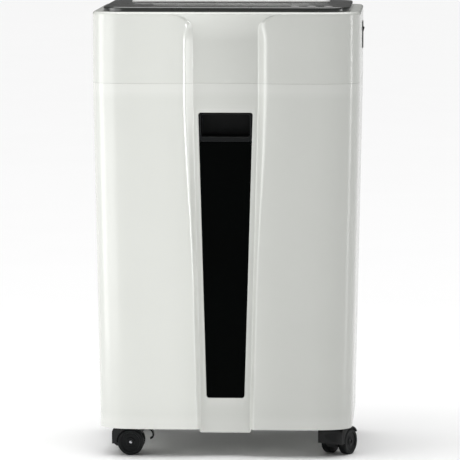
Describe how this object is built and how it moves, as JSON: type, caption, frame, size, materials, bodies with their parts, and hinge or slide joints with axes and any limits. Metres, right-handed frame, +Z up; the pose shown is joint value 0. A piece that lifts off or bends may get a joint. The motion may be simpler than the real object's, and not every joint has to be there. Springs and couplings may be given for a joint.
{
  "type": "paper shredder",
  "caption": "Tall free-standing paper shredder with a top feed slot, meshing cutter rollers, a pull-out waste bin with a front window, and twin-wheel casters.",
  "frame": {"origin": "on the floor under the middle of the body", "axes": "+Z up, +X to the right seen from the front, the front with the bin window faces -Y"},
  "size_m": [0.3882, 0.3, 0.6578],
  "materials": {
    "white_shell": "glossy moulded",
    "graphite_cover": "glossy metallic graphite",
    "hood_grey": "satin moulded",
    "smoked_window": "polished smoked panel",
    "black_plastic": "satin moulded",
    "wheel_plastic": "satin moulded",
    "steel": "zinc plated",
    "blade_steel": "hardened, oiled",
    "bin_plastic": "grained",
    "circuit_board": "solder mask",
    "motor_metal": "satin",
    "nylon": "natural",
    "lens": "clear tinted"
  },
  "bodies": {
    "cabinet": {"base_plate": "white_shell", "left_side_panel": "white_shell", "right_side_panel": "white_shell", "back_panel": "white_shell", "cabinet_deck": "black_plastic", "left_runner": "steel", "right_runner": "steel", "bin_switch": "black_plastic", "head_front_shell": "white_shell", "head_rear_shell": "white_shell", "top_cover": "graphite_cover", "feed_hood": "hood_grey", "throat_guide": "black_plastic", "indicator_lens": "lens", "rocker_bezel": "black_plastic", "power_inlet": "black_plastic", "control_board": "circuit_board", "capacitor": "motor_metal", "left_side_plate": "steel", "right_side_plate": "steel", "front_stripper": "black_plastic", "rear_stripper": "black_plastic", "idler_axle": "steel", "motor_can": "motor_metal", "front_tie_rod": "steel", "rear_tie_rod": "steel"},
    "drawer": {"bin_front_panel": "white_shell", "bin_window": "smoked_window", "grip_pocket": "black_plastic", "waste_bin": "bin_plastic"},
    "rear_cutter_shaft": {"rear_cutter": "blade_steel", "rear_sync_gear": "steel"},
    "front_cutter_shaft": {"front_cutter": "blade_steel", "front_sync_gear": "steel", "final_gear": "nylon"},
    "idler": {"idler_gear": "nylon"},
    "motor_rotor": {"motor_pinion": "steel", "cooling_fan": "black_plastic"},
    "power_rocker": {"power_rocker": "black_plastic"},
    "power_button": {"power_button": "hood_grey"},
    "forward_button": {"forward_button": "hood_grey"},
    "reverse_button": {"reverse_button": "hood_grey"},
    "front_left_caster": {"front_left_caster_hood": "black_plastic", "front_left_caster_axle": "steel"},
    "front_left_wheel_a": {"front_left_wheel_a": "wheel_plastic"},
    "front_left_wheel_b": {"front_left_wheel_b": "wheel_plastic"},
    "front_left_brake": {"front_left_brake_lever": "black_plastic"},
    "front_right_caster": {"front_right_caster_hood": "black_plastic", "front_right_caster_axle": "steel"},
    "front_right_wheel_a": {"front_right_wheel_a": "wheel_plastic"},
    "front_right_wheel_b": {"front_right_wheel_b": "wheel_plastic"},
    "front_right_brake": {"front_right_brake_lever": "black_plastic"},
    "rear_left_caster": {"rear_left_caster_hood": "black_plastic", "rear_left_caster_axle": "steel"},
    "rear_left_wheel_a": {"rear_left_wheel_a": "wheel_plastic"},
    "rear_left_wheel_b": {"rear_left_wheel_b": "wheel_plastic"},
    "rear_right_caster": {"rear_right_caster_hood": "black_plastic", "rear_right_caster_axle": "steel"},
    "rear_right_wheel_a": {"rear_right_wheel_a": "wheel_plastic"},
    "rear_right_wheel_b": {"rear_right_wheel_b": "wheel_plastic"}
  },
  "joints": [
    {"name": "drawer_slide", "type": "slide", "parent": "cabinet", "child": "drawer", "axis": [0, -1, 0], "range_m": [0, 0.23]},
    {"name": "rear_cutter_spin", "type": "hinge", "parent": "cabinet", "child": "rear_cutter_shaft", "pos_m": [0, 0.067, 0.59], "axis": [1, 0, 0], "continuous": true},
    {"name": "front_cutter_spin", "type": "hinge", "parent": "cabinet", "child": "front_cutter_shaft", "pos_m": [0, 0.029, 0.59], "axis": [1, 0, 0], "continuous": true},
    {"name": "idler_spin", "type": "hinge", "parent": "cabinet", "child": "idler", "pos_m": [-0.145, -0.01208, 0.58127], "axis": [1, 0, 0], "continuous": true},
    {"name": "motor_spin", "type": "hinge", "parent": "cabinet", "child": "motor_rotor", "pos_m": [-0.075, -0.04615, 0.59367], "axis": [1, 0, 0], "continuous": true},
    {"name": "power_rocker_tip", "type": "hinge", "parent": "cabinet", "child": "power_rocker", "pos_m": [0.185, 0.06, 0.601], "axis": [0, -1, 0], "range_deg": [0, 14]},
    {"name": "power_button_press", "type": "slide", "parent": "cabinet", "child": "power_button", "axis": [0, 0, -1], "range_m": [0, 0.0015], "stiffness_N_per_m": 300},
    {"name": "forward_button_press", "type": "slide", "parent": "cabinet", "child": "forward_button", "axis": [0, 0, -1], "range_m": [0, 0.0015], "stiffness_N_per_m": 300},
    {"name": "reverse_button_press", "type": "slide", "parent": "cabinet", "child": "reverse_button", "axis": [0, 0, -1], "range_m": [0, 0.0015], "stiffness_N_per_m": 300},
    {"name": "front_left_swivel", "type": "hinge", "parent": "cabinet", "child": "front_left_caster", "pos_m": [-0.155, -0.105, 0.04], "axis": [0, 0, 1], "continuous": true},
    {"name": "front_left_wheel_a_spin", "type": "hinge", "parent": "front_left_caster", "child": "front_left_wheel_a", "pos_m": [-0.138, -0.105, 0.019], "axis": [0, 1, 0], "continuous": true},
    {"name": "front_left_wheel_b_spin", "type": "hinge", "parent": "front_left_caster", "child": "front_left_wheel_b", "pos_m": [-0.138, -0.105, 0.019], "axis": [0, 1, 0], "continuous": true},
    {"name": "front_left_brake_tip", "type": "hinge", "parent": "front_left_caster", "child": "front_left_brake", "pos_m": [-0.1235, -0.105, 0.037], "axis": [0, 1, 0], "range_deg": [0, 12]},
    {"name": "front_right_swivel", "type": "hinge", "parent": "cabinet", "child": "front_right_caster", "pos_m": [0.155, -0.105, 0.04], "axis": [0, 0, 1], "continuous": true},
    {"name": "front_right_wheel_a_spin", "type": "hinge", "parent": "front_right_caster", "child": "front_right_wheel_a", "pos_m": [0.16298, -0.08999, 0.019], "axis": [-0.8829, 0.4695, 0], "continuous": true},
    {"name": "front_right_wheel_b_spin", "type": "hinge", "parent": "front_right_caster", "child": "front_right_wheel_b", "pos_m": [0.16298, -0.08999, 0.019], "axis": [-0.8829, 0.4695, 0], "continuous": true},
    {"name": "front_right_brake_tip", "type": "hinge", "parent": "front_right_caster", "child": "front_right_brake", "pos_m": [0.16979, -0.07719, 0.037], "axis": [-0.8829, 0.4695, 0], "range_deg": [0, 12]},
    {"name": "rear_left_swivel", "type": "hinge", "parent": "cabinet", "child": "rear_left_caster", "pos_m": [-0.155, 0.108, 0.04], "axis": [0, 0, 1], "continuous": true},
    {"name": "rear_left_wheel_a_spin", "type": "hinge", "parent": "rear_left_caster", "child": "rear_left_wheel_a", "pos_m": [-0.155, 0.125, 0.019], "axis": [-1, 0, 0], "continuous": true},
    {"name": "rear_left_wheel_b_spin", "type": "hinge", "parent": "rear_left_caster", "child": "rear_left_wheel_b", "pos_m": [-0.155, 0.125, 0.019], "axis": [-1, 0, 0], "continuous": true},
    {"name": "rear_right_swivel", "type": "hinge", "parent": "cabinet", "child": "rear_right_caster", "pos_m": [0.155, 0.108, 0.04], "axis": [0, 0, 1], "continuous": true},
    {"name": "rear_right_wheel_a_spin", "type": "hinge", "parent": "rear_right_caster", "child": "rear_right_wheel_a", "pos_m": [0.155, 0.125, 0.019], "axis": [-1, 0, 0], "continuous": true},
    {"name": "rear_right_wheel_b_spin", "type": "hinge", "parent": "rear_right_caster", "child": "rear_right_wheel_b", "pos_m": [0.155, 0.125, 0.019], "axis": [-1, 0, 0], "continuous": true}
  ],
  "couplings": [
    {"joint": "idler_spin", "follows": "motor_spin", "ratio": -0.20833},
    {"joint": "front_cutter_spin", "follows": "motor_spin", "ratio": 0.069444},
    {"joint": "rear_cutter_spin", "follows": "motor_spin", "ratio": -0.069444}
  ]
}
